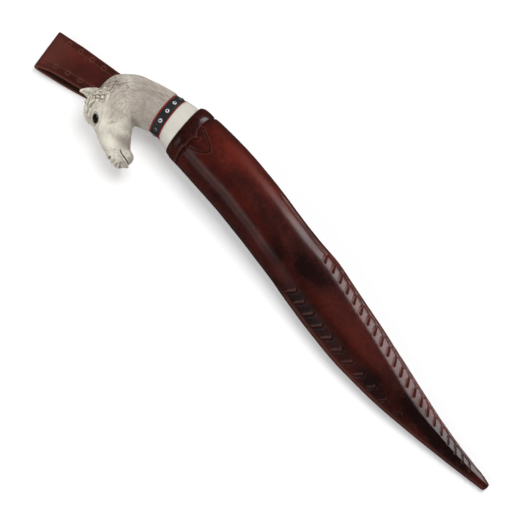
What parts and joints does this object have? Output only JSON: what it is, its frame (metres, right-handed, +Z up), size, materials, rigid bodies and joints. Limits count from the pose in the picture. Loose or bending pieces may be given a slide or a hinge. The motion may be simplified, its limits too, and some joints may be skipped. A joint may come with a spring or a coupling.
{
  "type": "sheathed knife",
  "caption": "Slim carving knife with a horse-head handle and studded collar, held in a long tapered tooled-leather sheath with a belt loop.",
  "frame": {"origin": "on the table, under the middle of the part's length and width as it lies on its back", "axes": "+X from the sheath's tip towards the belt loop, +Y towards the horse's muzzle, +Z up off the table"},
  "size_m": [0.3212, 0.0584, 0.03],
  "materials": {
    "leather": "gloss",
    "strap_leather": "satin",
    "liner_wood": "matte",
    "thread": "matte",
    "brass": "satin",
    "steel": "satin",
    "red_fibre": "satin",
    "bone": "satin",
    "black_band": "satin",
    "stud_chrome": "polished",
    "antler": "satin",
    "eye_glass": "gloss"
  },
  "bodies": {
    "sheath": {"sheath_leather": "leather", "blade_liner_front": "liner_wood", "blade_liner_back": "liner_wood", "back_seam_stitches": "thread", "loop_tail": "strap_leather", "loop_rivets": "brass"},
    "knife": {"blade": "steel", "bolster": "brass", "bolster_spacer": "red_fibre", "grip": "bone", "lower_red_spacer": "red_fibre", "collar_band": "black_band", "collar_studs": "stud_chrome", "upper_red_spacer": "red_fibre", "horse_head": "antler", "eye_left": "eye_glass", "eye_right": "eye_glass"},
    "belt_loop": {"belt_loop": "strap_leather"}
  },
  "joints": [
    {"name": "knife_draw", "type": "slide", "parent": "sheath", "child": "knife", "axis": [0.9982, 0, 0.0605], "range_m": [0, 0.21]},
    {"name": "loop_flex", "type": "hinge", "parent": "sheath", "child": "belt_loop", "pos_m": [0.0756, -0.01075, 0.0024], "axis": [-0.289, 0.9573, 0], "range_deg": [0, 60], "stiffness_Nm_per_rad": 0.08}
  ]
}
